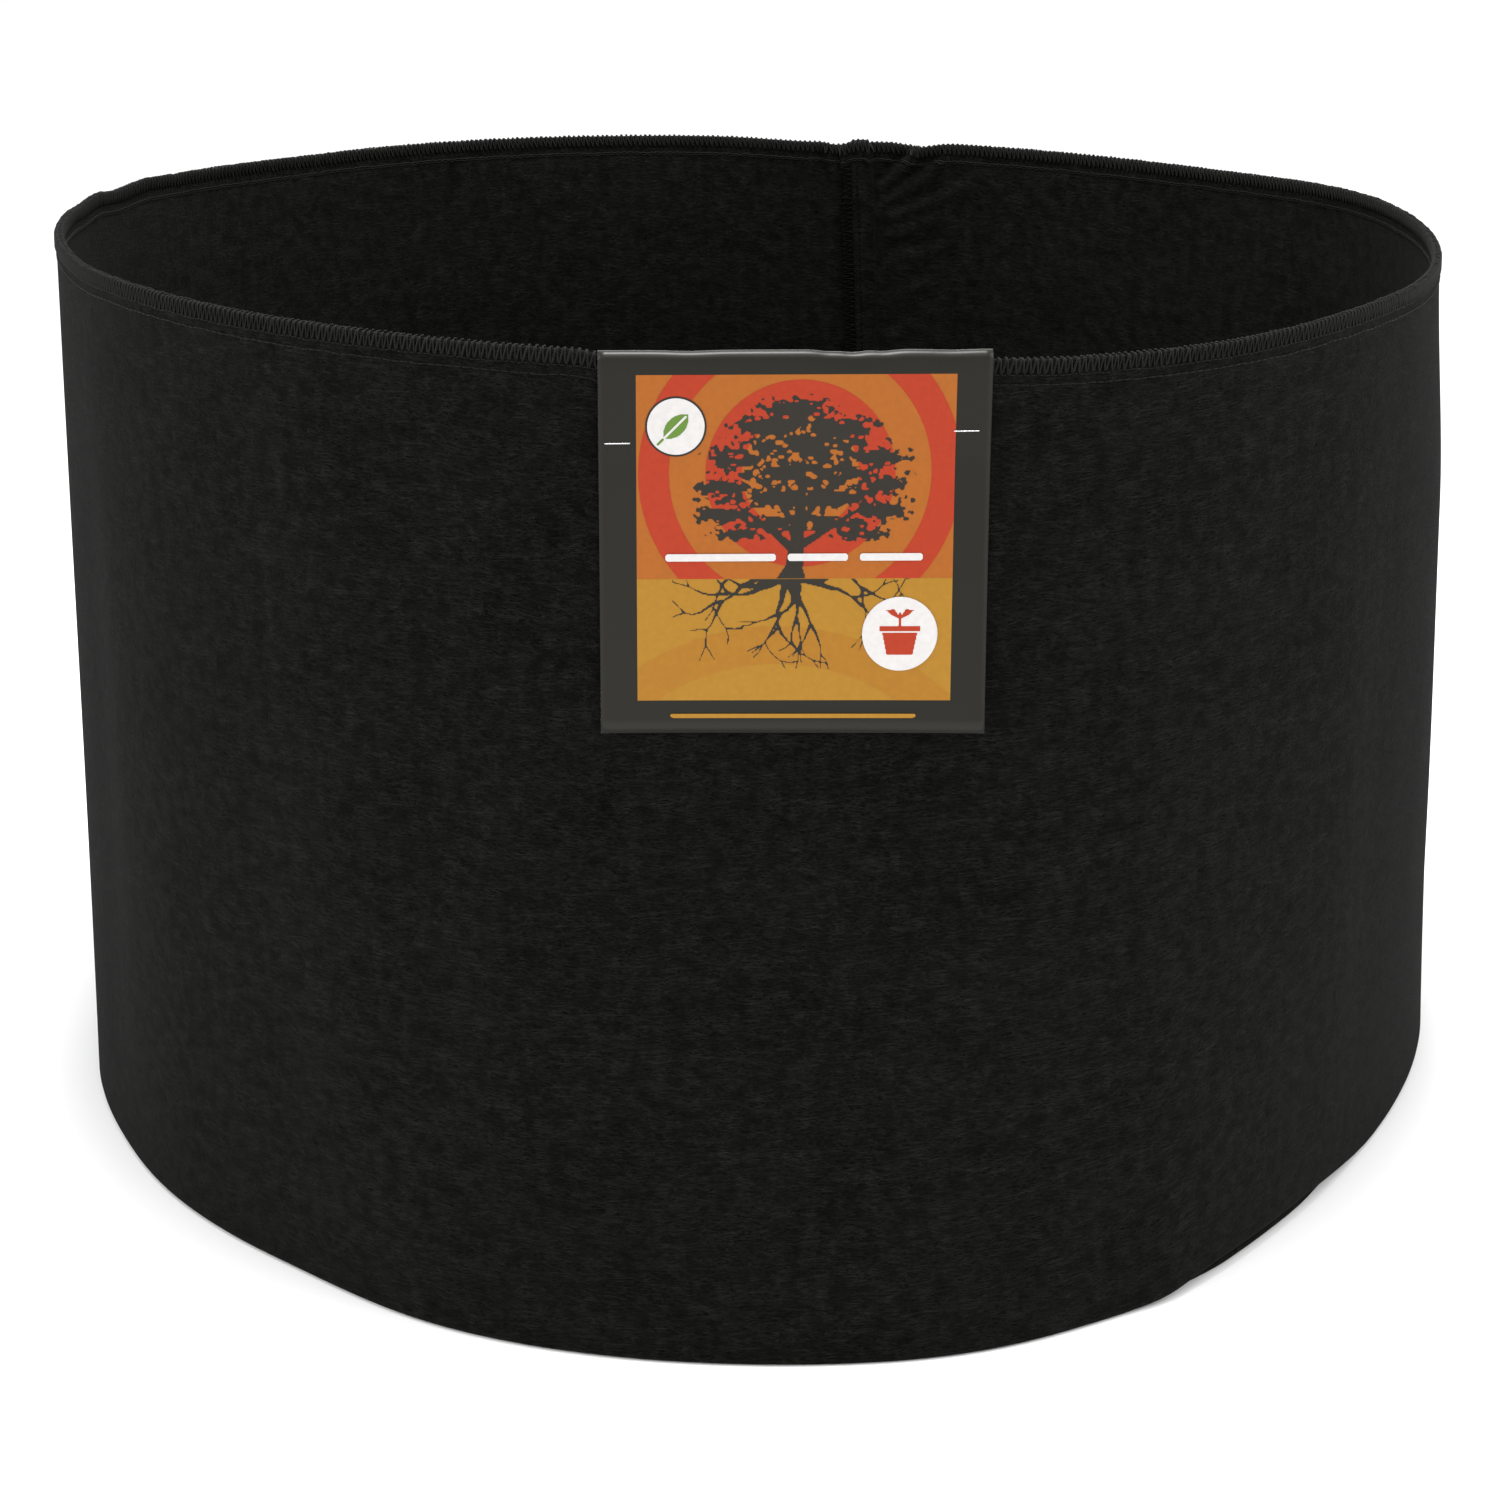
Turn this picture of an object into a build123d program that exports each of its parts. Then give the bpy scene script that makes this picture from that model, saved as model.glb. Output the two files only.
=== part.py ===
"""A 30 US gallon fabric grow bag: a sewn felt tub with a folded card label stapled over its rim.

Millimetres, +Z up. The origin is the centre of the underside, and the label faces -Y.
The wall is one strip of felt, closed by a seam at the back. Its lower edge and the edge of the base
are turned inside and sewn together. All three seams are five-thread safety stitches: a three-thread
overlock round the raw edge and a two-thread chain stitch beside it. Each thread is a plain band or
cord here, along the line that its stitches follow.
"""

import os
from math import asin, cos, degrees, hypot, radians, sin, sqrt

from build123d import *

# ---------------------------------------------------------------- driving dimensions
bag_diameter = 610.0  # outside, at the floor
bag_height = 388.0  # floor to the cut edge of the felt at the rim
felt = 2.5  # thickness of the needled felt

seam_angle = -15.0  # side seam, degrees from straight behind, towards +X
ply_gap = 0.2  # between two plies of one seam
seam_slit = 0.2  # between the wall strip's two ends

overlock_bite = 5.0  # width of an overlock round a raw edge
chain_line = 9.0  # chain stitch, from the raw edge
fold_margin = 4.0  # chain stitch to the fold, at the side and base seams
looper_thickness = 0.5  # build-up of the looper threads on a face
cord_size = 0.6  # square cord that stands for one line of stitches
thread_gap = 0.3  # between a thread and the felt

label_width = 140.0
label_drop = 140.0  # top of the fold to the lower edge of a leaf
card = 0.4  # thickness of the card
fold_radius = 2.8  # inside of the fold
fold_rise = 2.8  # top of the fold above the felt's cut edge
flap_line = 38.0  # where a leaf starts to lift, below the top of the fold
flap_gap = 0.3  # between the stapled header and a flap

flat_half_width = 72.0  # half the straight stretch that the stapled label pulls into the rim
flat_blend = 60.0  # radius between that stretch and the round wall
flat_top_zone = 150.0  # height below the rim over which the straight stretch keeps its shape
round_foot = 20.0  # height above the floor over which the wall is a true cylinder

staple_wire = 0.5  # diameter
staple_crown = 9.5  # outside length of the crown
staple_clinch = 1.8  # length of a clinched leg
staple_bend = 0.55  # centre-line radius of each bend
staple_hole_gap = 0.3  # all round a leg
staple_left = (-63.5, 33.5)  # centre of the crown: across the label, and below the top of the fold
staple_right = (61.0, 30.5)

# ---------------------------------------------------------------- values that follow
radius = bag_diameter / 2
seam_allowance = chain_line + fold_margin  # felt turned inside at the side and base seams
lay_gap = looper_thickness + 2 * thread_gap  # between turned-in plies and the wall outside them
blend_centre_y = sqrt((radius - flat_blend) ** 2 - flat_half_width**2)
flat_y = blend_centre_y + flat_blend  # outer face of the straight stretch, in front of the axis
flat_start = bag_height - flat_top_zone

hem_outer = radius - felt - lay_gap  # the wall's own turned-up edge
hem_inner = hem_outer - felt
lip_outer = hem_inner - ply_gap  # the base's turned-up edge
lip_inner = lip_outer - felt

flap_a_outer = radius - felt - lay_gap  # side seam plies, laid against the wall
flap_a_inner = flap_a_outer - felt
flap_b_outer = flap_a_inner - ply_gap
flap_b_inner = flap_b_outer - felt
flap_low = seam_allowance + looper_thickness + 2 * thread_gap + 1.0
flap_high = bag_height - chain_line - cord_size - 1.0

leaf_middle_y = flat_y - felt / 2  # plane midway between the label's leaves
label_top = bag_height + fold_rise
label_low = label_top - label_drop
fold_centre_z = label_top - card - fold_radius
flap_top = label_top - flap_line


# ---------------------------------------------------------------- outlines and bands
def on_circle(r, angle):
    """The point of a circle about the origin at an angle in degrees from +X."""
    return (r * cos(radians(angle)), r * sin(radians(angle)))


def flattened_outline(offset):
    """The rim's outline, moved outwards by offset: a circle with a straight stretch at the front."""
    r, blend, front = radius + offset, flat_blend + offset, flat_y + offset
    half = flat_half_width
    tangent = degrees(asin(half / hypot(half, blend_centre_y)))  # from straight ahead
    halfway = tangent / 2
    right_mid = (half + blend * sin(radians(halfway)), -blend_centre_y - blend * cos(radians(halfway)))
    right_end = on_circle(r, -90 + tangent)
    left_mid = (-right_mid[0], right_mid[1])
    left_end = (-right_end[0], right_end[1])
    return make_face(
        [
            Line((-half, -front), (half, -front)),
            ThreePointArc((half, -front), right_mid, right_end),
            ThreePointArc(right_end, (0, r), left_end),
            ThreePointArc(left_end, left_mid, (-half, -front)),
        ]
    )


def round_outline(offset):
    """The foot's round outline, moved outwards by offset and split where flattened_outline is."""
    r = radius + offset
    flat_edge = degrees(asin(flat_half_width / r))
    tangent = degrees(asin(flat_half_width / hypot(flat_half_width, blend_centre_y)))
    if tangent <= flat_edge:
        tangent = flat_edge + 1.0
    stops = [-90 - flat_edge, -90 + flat_edge, -90 + tangent, 270 - tangent, 270 - flat_edge]
    arcs = []
    for start, stop in zip(stops, stops[1:]):
        halfway = (start + stop) / 2
        arcs.append(ThreePointArc(on_circle(r, start), on_circle(r, halfway), on_circle(r, stop)))
    return make_face(arcs)


def lift(shape, z):
    return Pos(0, 0, z) * shape


def tub(offset):
    """The wall's filled shape, moved outwards by offset: round at the foot, flattened at the rim."""
    foot = extrude(round_outline(offset), round_foot)
    ends = [lift(round_outline(offset), round_foot), lift(flattened_outline(offset), flat_start)]
    middle = loft(ends, ruled=True)
    top = lift(extrude(flattened_outline(offset), bag_height - flat_start), flat_start)
    return foot + middle + top


def ring(outer, inner, low, high):
    """An upright round band."""
    return lift(extrude(Circle(outer) - Circle(inner), high - low), low)


def rim_band(outer, inner, low, high):
    """An upright band that follows the flattened rim, between two offsets."""
    return lift(extrude(flattened_outline(outer) - flattened_outline(inner), high - low), low)


def seam_band(outer, inner, near, far, low, high):
    """A curved band beside the side seam, from near to far millimetres to its left, about +Y."""
    start = 90 + degrees(near / outer)
    stop = 90 + degrees(far / outer)
    middle = (start + stop) / 2
    face = make_face(
        [
            ThreePointArc(on_circle(outer, start), on_circle(outer, middle), on_circle(outer, stop)),
            Line(on_circle(outer, stop), on_circle(inner, stop)),
            ThreePointArc(on_circle(inner, stop), on_circle(inner, middle), on_circle(inner, start)),
            Line(on_circle(inner, start), on_circle(outer, start)),
        ]
    )
    return lift(extrude(face, high - low), low)


def at_seam(shape):
    """Turns what was built about +Y to where the side seam is."""
    return Rot(0, 0, seam_angle) * shape


def block(x0, x1, y0, y1, z0, z1):
    return Pos(x0, y0, z0) * Box(x1 - x0, y1 - y0, z1 - z0, align=(Align.MIN, Align.MIN, Align.MIN))


# ---------------------------------------------------------------- felt
def staple_legs(place):
    """Where a staple's two legs go through: x of each, and z."""
    across, below = place
    reach = (staple_crown - staple_wire) / 2
    return (across - reach, across + reach), label_top - below


def leg_holes(y0, y1):
    """Round holes for every staple leg, from y0 to y1."""
    holes = []
    for place in (staple_left, staple_right):
        xs, z = staple_legs(place)
        for x in xs:
            hole = Cylinder(staple_wire / 2 + staple_hole_gap, y1 - y0)
            holes.append(Pos(x, (y0 + y1) / 2, z) * Rot(90, 0, 0) * hole)
    return holes


def wall_panel():
    """One strip of felt: the wall, its turned-up lower edge, and its two ends turned inside."""
    wall = tub(0) - tub(-felt)
    wall += ring(radius, hem_inner, 0, felt)
    wall += ring(hem_outer, hem_inner, 0, seam_allowance)
    wall -= at_seam(block(-seam_slit / 2, seam_slit / 2, hem_inner - 1, radius + 1, -1, bag_height + 1))
    turn = seam_slit / 2
    half = felt / 2
    span = (flap_low, flap_high)
    ply_a = seam_band(flap_a_outer, flap_a_inner, turn, seam_allowance, *span)
    bridge_a = seam_band(radius - half, flap_a_outer - half, turn, turn + felt, *span)
    ply_b = seam_band(flap_b_outer, flap_b_inner, -turn - felt, seam_allowance, *span)
    bridge_b = seam_band(radius - half, flap_b_outer - half, -turn - felt, -turn, *span)
    wall += at_seam(ply_a + bridge_a)
    wall += at_seam(ply_b + bridge_b)
    for hole in leg_holes(-flat_y - 1, -flat_y + felt + 1):
        wall -= hole
    return wall


def base_panel():
    """A round of felt, its edge turned up inside the wall's turned-up edge."""
    floor = extrude(Circle(lip_outer), felt)
    return floor + ring(lip_outer, lip_inner, 0, seam_allowance)


# ---------------------------------------------------------------- threads
def rim_threads():
    """The rim's five threads. The overlock's loopers meet on top of the cut edge."""
    face = thread_gap
    top = bag_height + thread_gap
    low = bag_height - overlock_bite
    middle = -felt / 2
    line = bag_height - chain_line
    upper = rim_band(face + looper_thickness, face, low, top)
    upper += rim_band(face + looper_thickness, middle, top, top + looper_thickness)
    lower = rim_band(-felt - face, -felt - face - looper_thickness, low, top)
    lower += rim_band(middle, -felt - face - looper_thickness, top, top + looper_thickness)
    outside = (face + cord_size, face)
    inside = (-felt - face, -felt - face - cord_size)
    return {
        "rim_overlock_upper_looper": upper,
        "rim_overlock_lower_looper": lower,
        "rim_overlock_needle_thread": rim_band(*outside, low - cord_size, low),
        "rim_chain_needle_thread": rim_band(*outside, line - cord_size / 2, line + cord_size / 2),
        "rim_chain_looper_thread": rim_band(*inside, line - cord_size / 2, line + cord_size / 2),
    }


def side_seam_threads():
    """The side seam's five threads, round the free edge of its two turned-in plies."""
    edge = seam_allowance + thread_gap
    bite = seam_allowance - overlock_bite
    line = seam_allowance - chain_line
    middle = (flap_a_inner + flap_b_outer) / 2
    inside = flap_b_inner - thread_gap
    behind = flap_a_outer + thread_gap
    span = (flap_low, flap_high)
    stitch = (line - cord_size / 2, line + cord_size / 2)
    upper = seam_band(inside, inside - looper_thickness, bite, edge, *span)
    upper += seam_band(middle, inside - looper_thickness, edge, edge + looper_thickness, *span)
    lower = seam_band(behind + looper_thickness, behind, bite, edge, *span)
    lower += seam_band(behind + looper_thickness, middle, edge, edge + looper_thickness, *span)
    cord_behind = (behind + looper_thickness, behind)
    cord_inside = (inside, inside - cord_size)
    threads = {
        "side_overlock_upper_looper": upper,
        "side_overlock_lower_looper": lower,
        "side_overlock_needle_thread": seam_band(*cord_inside, bite - cord_size, bite, *span),
        "side_chain_needle_thread": seam_band(*cord_inside, *stitch, *span),
        "side_chain_looper_thread": seam_band(*cord_behind, *stitch, *span),
    }
    return {name: at_seam(shape) for name, shape in threads.items()}


def base_seam_threads():
    """The base seam's five threads, round the top of the wall's hem and the base's lip."""
    top = seam_allowance + thread_gap
    low = seam_allowance - overlock_bite
    line = seam_allowance - chain_line
    middle = (hem_inner + lip_outer) / 2
    inside = lip_inner - thread_gap
    behind = hem_outer + thread_gap
    upper = ring(inside, inside - looper_thickness, low, top)
    upper += ring(middle, inside - looper_thickness, top, top + looper_thickness)
    lower = ring(behind + looper_thickness, behind, low, top)
    lower += ring(behind + looper_thickness, middle, top, top + looper_thickness)
    cord_behind = (behind + looper_thickness, behind)
    cord_inside = (inside, inside - cord_size)
    return {
        "base_overlock_upper_looper": upper,
        "base_overlock_lower_looper": lower,
        "base_overlock_needle_thread": ring(*cord_inside, low - cord_size, low),
        "base_chain_needle_thread": ring(*cord_inside, line - cord_size / 2, line + cord_size / 2),
        "base_chain_looper_thread": ring(*cord_behind, line - cord_size / 2, line + cord_size / 2),
    }


# ---------------------------------------------------------------- label
def leaf(side, low, high):
    """A flat stretch of one leaf. Side is -1 for the front leaf and +1 for the back one."""
    near = -leaf_middle_y + side * fold_radius
    far = near + side * card
    return block(-label_width / 2, label_width / 2, min(near, far), max(near, far), low, high)


def label_header():
    """The stapled top of the folded card: the fold and the start of both leaves."""
    fold = Cylinder(fold_radius + card, label_width) - Cylinder(fold_radius, label_width)
    fold = Pos(0, -leaf_middle_y, fold_centre_z) * Rot(0, 90, 0) * fold
    reach = 2 * (fold_radius + card)
    near, far = -leaf_middle_y - reach, -leaf_middle_y + reach
    fold &= block(-label_width, label_width, near, far, fold_centre_z, label_top + 1)
    header = fold
    for side in (-1, 1):
        header += leaf(side, flap_top + flap_gap, fold_centre_z)
    outside = fold_radius + card + 1
    for hole in leg_holes(-leaf_middle_y - outside, -leaf_middle_y + outside):
        header -= hole
    return header


def staple(place):
    """A bent wire: a crown on the front leaf, two legs through, and their ends clinched inwards."""
    xs, z = staple_legs(place)
    stand_off = fold_radius + card + staple_wire / 2
    front = -leaf_middle_y - stand_off
    back = -leaf_middle_y + stand_off
    path = FilletPolyline(
        (xs[0] + staple_clinch, back, z),
        (xs[0], back, z),
        (xs[0], front, z),
        (xs[1], front, z),
        (xs[1], back, z),
        (xs[1] - staple_clinch, back, z),
        radius=staple_bend,
    )
    section = Plane(path @ 0, z_dir=path % 0) * Circle(staple_wire / 2)
    return sweep(section, path=path)


# ---------------------------------------------------------------- write
parts = {
    "wall_panel": wall_panel(),
    "base_panel": base_panel(),
    **rim_threads(),
    **side_seam_threads(),
    **base_seam_threads(),
    "label_header": label_header(),
    "label_front_flap": leaf(-1, label_low, flap_top),
    "label_rear_flap": leaf(1, label_low, flap_top),
    "staple_left": staple(staple_left),
    "staple_right": staple(staple_right),
}
os.makedirs("parts", exist_ok=True)
for name, shape in parts.items():
    export_step(shape, f"parts/{name}.step")
print(f"{len(parts)} parts; the flat front is at y = -{flat_y:.2f}")
print(f"the label reaches from z = {label_low:.1f} to {label_top:.1f}")
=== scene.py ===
# %% [markdown]
# # Sewing a fabric grow bag
#
# A grow bag is a tub of black felt that a tree grows in. It has only a few pieces: a long strip for
# the wall, a round for the base, the threads of three seams, and a printed card that is folded over
# the rim and stapled there. Felt has no stiffness of its own, so nothing on a real bag is quite
# round, level or straight, and that is what this lesson is about.
#
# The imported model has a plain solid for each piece. Here each soft one gets its true form, made the
# way that it is made on the sewing table: cut flat, turned in at the edges, closed, and stitched.

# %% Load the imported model
import math

import bmesh
import bpy
import numpy as np
from mathutils import Matrix, Vector


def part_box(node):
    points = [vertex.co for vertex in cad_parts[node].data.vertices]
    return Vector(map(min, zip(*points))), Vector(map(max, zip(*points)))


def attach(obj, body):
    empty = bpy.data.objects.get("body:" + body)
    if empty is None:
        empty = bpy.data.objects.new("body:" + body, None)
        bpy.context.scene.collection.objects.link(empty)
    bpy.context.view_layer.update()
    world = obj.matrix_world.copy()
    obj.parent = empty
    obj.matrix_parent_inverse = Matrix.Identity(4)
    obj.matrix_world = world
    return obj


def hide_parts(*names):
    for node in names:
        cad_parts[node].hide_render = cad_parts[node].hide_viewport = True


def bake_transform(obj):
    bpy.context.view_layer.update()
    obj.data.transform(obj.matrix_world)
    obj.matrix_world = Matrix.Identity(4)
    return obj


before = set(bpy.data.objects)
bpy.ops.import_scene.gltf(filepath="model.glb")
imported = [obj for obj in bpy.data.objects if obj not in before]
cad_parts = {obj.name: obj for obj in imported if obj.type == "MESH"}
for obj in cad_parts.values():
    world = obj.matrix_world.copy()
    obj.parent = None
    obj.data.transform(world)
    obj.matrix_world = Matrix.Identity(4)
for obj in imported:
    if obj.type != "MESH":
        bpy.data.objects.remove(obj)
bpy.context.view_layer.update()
MM = 0.001

# %% [markdown]
# ## The camera
#
# A catalogue picture of a tub is taken from a little above the rim with a long lens, so that the
# far rim shows and the sides stay nearly upright. The camera is aimed at the bag's axis, and it is
# turned a few degrees round it, because the label is not quite in the middle of the picture.

# %% Camera
CAMERA_TURN = math.radians(3.16)  # round the bag's axis, from straight in front of the label
CAMERA_DISTANCE = 1359 * MM  # from the axis
CAMERA_HEIGHT = 604.5 * MM
CAMERA_PITCH = math.radians(18.86)  # below the horizon

camera = bpy.data.objects.new("camera", bpy.data.cameras.new("camera"))
camera.data.lens = 73.3
camera.data.sensor_width = 36
camera.location = (
    -CAMERA_DISTANCE * math.sin(CAMERA_TURN),
    -CAMERA_DISTANCE * math.cos(CAMERA_TURN),
    CAMERA_HEIGHT,
)
camera.rotation_euler = (math.pi / 2 - CAMERA_PITCH, 0, -CAMERA_TURN)
bpy.context.scene.collection.objects.link(camera)
bpy.context.scene.camera = camera
print("camera at", [round(value / MM) for value in camera.location], "mm")

# %% [markdown]
# ## The studio
#
# Black felt gives back about one percent of the light, so the light has to come from wide soft
# sources: a white room, a large panel on each side that runs along the edges of the bag, a weak one
# in front, and one straight above that reaches the inside and catches the fold of the card. The
# Standard view transform keeps the paper white.

# %% Floor, room and lights
def place(name, data):
    """A new object with that data, in the scene."""
    piece = bpy.data.objects.new(name, data)
    bpy.context.scene.collection.objects.link(piece)
    return piece


def place_mesh(name, bm):
    """A new object whose mesh is the finished bmesh."""
    mesh = bpy.data.meshes.new(name)
    bm.to_mesh(mesh)
    bm.free()
    return place(name, mesh)


def softbox(name, location, target, size, power):
    """A square panel of light that faces the target."""
    panel = place(name, bpy.data.lights.new(name, "AREA"))
    panel.data.shape = "SQUARE"
    panel.data.size = size
    panel.data.energy = power
    panel.location = location
    panel.rotation_mode = "QUATERNION"
    panel.rotation_quaternion = (Vector(target) - Vector(location)).to_track_quat("-Z", "Y")
    return panel


softbox("left_panel", (-2.4, -0.6, 1.3), (0, 0, 0.2), 1.6, 25)
softbox("right_panel", (2.4, -0.4, 1.3), (0, 0, 0.2), 1.6, 30)
softbox("front_panel", (-0.2, -1.6, 2.6), (0, 0, 0.3), 1.5, 14)
softbox("top_panel", (0, -0.12, 1.7), (0, 0.05, 0), 0.5, 30)

world = bpy.data.worlds.new("white_room")
world.use_nodes = True
world.node_tree.nodes["Background"].inputs["Color"].default_value = (1, 1, 1, 1)
world.node_tree.nodes["Background"].inputs["Strength"].default_value = 1.12
bpy.context.scene.world = world
bpy.context.scene.view_settings.view_transform = "Standard"

bm = bmesh.new()
bmesh.ops.create_circle(bm, cap_ends=True, segments=96, radius=12)
floor = place_mesh("floor", bm)
print("the floor is", len(floor.data.polygons), "face")

# %% [markdown]
# ## A few tools for materials
#
# Every finish below is one Principled shader with a pattern in front of it. Two small helpers keep
# the node trees readable: one starts a material and sets the shader's own sockets, the other adds a
# node and joins its inputs.

# %% Material helpers
def finish_of(name, colour, roughness, **sockets):
    """A material whose Principled shader has these values on its own sockets."""
    material = bpy.data.materials.new(name)
    material.use_nodes = True
    shader = material.node_tree.nodes["Principled BSDF"]
    shader.inputs["Base Color"].default_value = (*colour, 1)
    shader.inputs["Roughness"].default_value = roughness
    for socket, value in sockets.items():
        shader.inputs[socket.replace("_", " ").title().replace("Ior", "IOR")].default_value = value
    return material


def add_node(material, kind, inputs, **settings):
    """A node whose inputs are values or other nodes' outputs. Returns its first output."""
    node = material.node_tree.nodes.new(kind)
    for setting, value in settings.items():
        setattr(node, setting, value)
    for socket, value in inputs.items():
        if isinstance(value, bpy.types.NodeSocket):
            material.node_tree.links.new(value, node.inputs[socket])
        else:
            node.inputs[socket].default_value = value
    return node.outputs[0]


def math_node(material, operation, first, second=0.0):
    return add_node(material, "ShaderNodeMath", {0: first, 1: second}, operation=operation)


def join_shader(material, socket, output):
    shader = material.node_tree.nodes["Principled BSDF"]
    material.node_tree.links.new(output, shader.inputs[socket])


def blend_colours(material, share, low, high):
    """Low where the share is 0 and high where it is 1."""
    ramp = material.node_tree.nodes.new("ShaderNodeValToRGB")
    ramp.color_ramp.elements[0].color = (*low, 1)
    ramp.color_ramp.elements[1].color = (*high, 1)
    material.node_tree.links.new(share, ramp.inputs["Fac"])
    return ramp.outputs["Color"]


def bump(material, height, distance, strength=1.0):
    normal = add_node(
        material, "ShaderNodeBump", {"Height": height, "Distance": distance, "Strength": strength}
    )
    join_shader(material, "Normal", normal)


# %% [markdown]
# ## Felt
#
# Needle-punched felt is a mat of hair-fine fibres that barbed needles have pushed into each other.
# Most of them still lie along the roll, so the face shows short streaks, nearly all one way, with a
# few that cross. A streak can be had from any noise: where the noise passes through its middle
# value it draws a thin wandering line, and a pattern space that is stretched one way turns those
# lines into hairs. Three such layers, each turned a little, make the mat. Broad clouds are added,
# because a mat is never equally thick. The pattern reads the cloth's own UV map in metres, so it
# follows every fold. Sheen on the shader does what stray fibres do at a grazing angle.

# %% Felt material
FELT_DEEP = (0.0007, 0.0007, 0.0006)
FELT_LIGHT = (0.014, 0.014, 0.0127)
FIBRE_LAYERS = (  # turn in degrees, length and spacing in millimetres, strength
    (4, 12.0, 1.2, 1.0),
    (-13, 9.0, 1.1, 0.85),
    (26, 7.0, 1.1, 0.65),
    (-48, 6.0, 1.2, 0.45),
    (78, 5.0, 1.3, 0.3),
)
HAIR_SHARE = 0.045  # half the band of noise values that counts as hair


def noise(material, vector, scale, detail=2.0, roughness=0.5):
    return add_node(
        material,
        "ShaderNodeTexNoise",
        {"Vector": vector, "Scale": scale, "Detail": detail, "Roughness": roughness},
    )


def in_range(material, value, low, high, to_low=0.0, to_high=1.0):
    """The value stretched so that low and high come to the two ends, and no further."""
    return add_node(
        material,
        "ShaderNodeMapRange",
        {"Value": value, "From Min": low, "From Max": high, "To Min": to_low, "To Max": to_high},
    )


def hairs(material, metres, turn, length, spacing):
    """White on wandering hairs about that long and that far apart."""
    stretched = add_node(
        material,
        "ShaderNodeMapping",
        {
            "Vector": metres,
            "Rotation": (0, 0, math.radians(turn)),
            "Scale": (length * MM, spacing * MM, 1),
        },
        vector_type="TEXTURE",
    )
    value = noise(material, stretched, 1.0, 1.5)
    off_middle = math_node(material, "ABSOLUTE", math_node(material, "SUBTRACT", value, 0.5))
    return in_range(material, off_middle, 0.0, HAIR_SHARE, 1.0, 0.0)


def felt_finish(name, flat_size, deep, light):
    """Felt whose UV map covers a flat cut of that size, between two colours."""
    material = finish_of(
        name, deep, 0.95, sheen_weight=0.02, sheen_roughness=0.4, specular_ior_level=0.02
    )
    uv = add_node(material, "ShaderNodeUVMap", {}, uv_map="flat_cut")
    metres = add_node(material, "ShaderNodeMapping", {"Vector": uv, "Scale": (*flat_size, 1)})
    mat = None
    for turn, length, spacing, strength in FIBRE_LAYERS:
        layer = hairs(material, metres, turn, length, spacing)
        layer = math_node(material, "MULTIPLY", layer, strength)
        mat = layer if mat is None else math_node(material, "MAXIMUM", mat, layer)
    breaks = in_range(material, noise(material, metres, 130, 3.0, 0.6), 0.36, 0.64, 0.35, 1.0)
    mat = math_node(material, "MULTIPLY", mat, breaks)  # a hair shows only here and there
    grain = in_range(material, noise(material, metres, 700, 3.0, 0.6), 0.3, 0.7)
    clouds = in_range(material, noise(material, metres, 28, 3.0, 0.55), 0.3, 0.7)
    share = math_node(material, "MULTIPLY", mat, 0.82)
    share = math_node(material, "ADD", share, math_node(material, "MULTIPLY", grain, 0.1))
    share = math_node(material, "ADD", share, math_node(material, "MULTIPLY", clouds, 0.1))
    join_shader(material, "Base Color", blend_colours(material, share, deep, light))
    height = math_node(material, "ADD", mat, math_node(material, "MULTIPLY", grain, 0.8))
    bump(material, height, 0.25 * MM, 0.9)
    return material


# %% [markdown]
# ## Thread, card, ink and wire
#
# The sewing thread is textured polyester, a soft yarn with a slight shine, so its loops catch more
# light than the felt under them. The side seam's copy of it is darker and duller: painted shade, as
# that seam lies in the shadow inside the bag.
# The card is coated: dark, and satin enough to show a highlight
# where it folds. Its core is white, which shows as a hairline at each cut edge. The inks lie on the
# coating, each a shade uneven, as a press leaves them. The staples are bright drawn wire.

# %% Thread, card, ink and wire materials
def mottled(name, colour, roughness, scale, spread, bump_mm=0.0, **sockets):
    """A finish whose colour wanders a little, at that scale in object coordinates."""
    material = finish_of(name, colour, roughness, **sockets)
    coordinates = material.node_tree.nodes.new("ShaderNodeTexCoord").outputs["Object"]
    pattern = in_range(material, noise(material, coordinates, scale, 3.0, 0.6), 0.3, 0.7)
    low = [value * (1 - spread) for value in colour]
    high = [min(1.0, value * (1 + spread)) for value in colour]
    join_shader(material, "Base Color", blend_colours(material, pattern, low, high))
    if bump_mm:
        bump(material, pattern, bump_mm * MM)
    return material


thread_finish = mottled(
    "black_polyester_thread", (0.0075, 0.0075, 0.007), 0.6, 2500, 0.5, 0.05,
    sheen_weight=0.03, sheen_roughness=0.3, specular_ior_level=0.1,
)
# the same thread, darker and duller: painted shade for the side seam inside the bag
shaded_thread_finish = mottled(
    "thread_with_painted_shade", (0.0032, 0.0032, 0.003), 0.8, 2500, 0.5, 0.05, specular_ior_level=0.03
)
card_finish = mottled(
    "dark_coated_card", (0.0085, 0.0078, 0.0045), 0.36, 900, 0.08, 0.004, specular_ior_level=0.22
)
card_core = mottled("white_card_core", (0.75, 0.74, 0.7), 0.8, 3000, 0.08)
steel_finish = mottled("bright_drawn_wire", (0.62, 0.62, 0.62), 0.25, 4000, 0.12, metallic=1.0)
floor_finish = mottled("pale_floor", (0.9, 0.9, 0.9), 0.7, 3, 0.01)
floor.data.materials.append(floor_finish)

INKS = {
    "orange": (0.315, 0.092, 0.01),
    "red": (0.33, 0.03, 0.008),
    "gold": (0.315, 0.153, 0.014),
    "old_gold": (0.305, 0.132, 0.011),
    "dark": (0.02, 0.017, 0.013),
    "white": (0.56, 0.54, 0.53),
    "green": (0.1, 0.19, 0.03),
}
ink_finish = {
    ink: mottled(f"{ink}_ink", colour, 0.38, 450, 0.05, 0.0, specular_ior_level=0.2)
    for ink, colour in INKS.items()
}
print(len(bpy.data.materials), "materials")

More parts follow.
